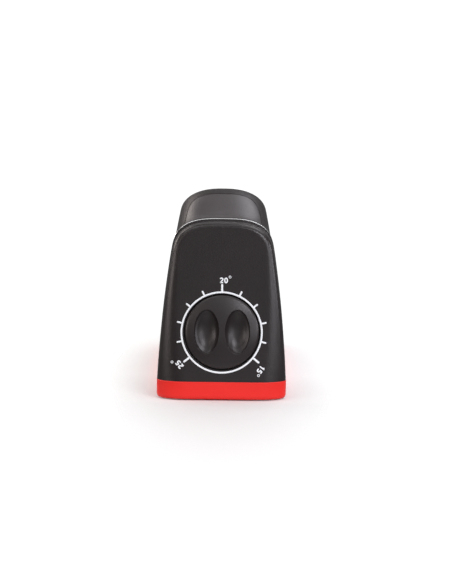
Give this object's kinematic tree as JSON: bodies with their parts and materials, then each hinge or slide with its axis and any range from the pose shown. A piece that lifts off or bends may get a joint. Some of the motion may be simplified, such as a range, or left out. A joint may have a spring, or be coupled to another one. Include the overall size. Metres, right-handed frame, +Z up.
{
  "type": "manual knife sharpener",
  "caption": "Hand-held pull-through knife sharpener on a red base: black leaning front with an angle dial, deck with knife slots over crossed sharpening rods, loop handle behind.",
  "frame": {"origin": "on the table under the middle of the base, at the bottom of the feet", "axes": "+Z up, the dial faces -Y, +X to the right of someone who looks at the dial"},
  "size_m": [0.0652, 0.2, 0.098],
  "materials": {
    "red_plastic": "satin moulded red plastic",
    "cover_plastic": "finely textured black plastic",
    "body_plastic": "finely textured black plastic",
    "knob_plastic": "satin black plastic",
    "saddle_plastic": "dark grey moulded plastic",
    "inlay_plastic": "satin grey plastic",
    "trim_metal": "bright metal",
    "rubber": "soft rubber",
    "steel": "turned steel",
    "frame_plastic": "glass-filled nylon",
    "slide_plastic": "low-friction acetal",
    "cam_metal": "die-cast and machined",
    "diamond_rod": "diamond-coated steel, finely gritty",
    "ceramic_rod": "unglazed fine ceramic"
  },
  "bodies": {
    "root": {"base_tray": "red_plastic", "rubber_feet": "rubber", "base_screws": "steel", "front_cover": "cover_plastic", "chrome_trim": "trim_metal", "body_left": "body_plastic", "body_right": "body_plastic", "body_screws": "steel", "grip_inlay": "inlay_plastic", "coarse_saddle": "saddle_plastic", "fine_saddle": "saddle_plastic", "inner_frame": "frame_plastic", "frame_screws": "steel", "guide_posts": "steel", "coarse_axle": "steel", "fine_axle": "steel", "axle_clips": "steel"},
    "knob": {"angle_knob": "knob_plastic", "knob_shaft": "steel", "friction_ring": "rubber", "scroll_cam": "cam_metal", "cam_screw": "steel"},
    "lifter": {"lifter": "slide_plastic", "follower_pin": "steel"},
    "coarse_front_holder": {"coarse_front_holder": "frame_plastic", "coarse_front_rods": "diamond_rod", "coarse_front_pin": "steel"},
    "coarse_rear_holder": {"coarse_rear_holder": "frame_plastic", "coarse_rear_rods": "diamond_rod", "coarse_rear_pin": "steel"},
    "fine_front_holder": {"fine_front_holder": "frame_plastic", "fine_front_rods": "ceramic_rod", "fine_front_pin": "steel"},
    "fine_rear_holder": {"fine_rear_holder": "frame_plastic", "fine_rear_rods": "ceramic_rod", "fine_rear_pin": "steel"}
  },
  "joints": [
    {"name": "knob_turn", "type": "hinge", "parent": "root", "child": "knob", "pos_m": [0, -0.09534, 0.03408], "axis": [0, -0.9833, 0.1822], "range_deg": [-128.57, 128.57]},
    {"name": "lifter_slide", "type": "slide", "parent": "root", "child": "lifter", "axis": [0, 0, 1], "range_m": [-0.003, 0.003]},
    {"name": "coarse_front_tilt", "type": "hinge", "parent": "root", "child": "coarse_front_holder", "pos_m": [0, -0.047, 0.055], "axis": [1, 0, 0], "range_deg": [-5, 5]},
    {"name": "coarse_rear_tilt", "type": "hinge", "parent": "root", "child": "coarse_rear_holder", "pos_m": [0, -0.047, 0.055], "axis": [1, 0, 0], "range_deg": [-5, 5]},
    {"name": "fine_front_tilt", "type": "hinge", "parent": "root", "child": "fine_front_holder", "pos_m": [0, -0.021, 0.055], "axis": [1, 0, 0], "range_deg": [-5, 5]},
    {"name": "fine_rear_tilt", "type": "hinge", "parent": "root", "child": "fine_rear_holder", "pos_m": [0, -0.021, 0.055], "axis": [1, 0, 0], "range_deg": [-5, 5]}
  ],
  "couplings": [
    {"joint": "lifter_slide", "follows": "knob_turn", "m_per_rad": 0.0013369},
    {"joint": "coarse_front_tilt", "follows": "knob_turn", "ratio": 0.038889},
    {"joint": "coarse_rear_tilt", "follows": "knob_turn", "ratio": -0.038889},
    {"joint": "fine_front_tilt", "follows": "knob_turn", "ratio": 0.038889},
    {"joint": "fine_rear_tilt", "follows": "knob_turn", "ratio": -0.038889}
  ]
}
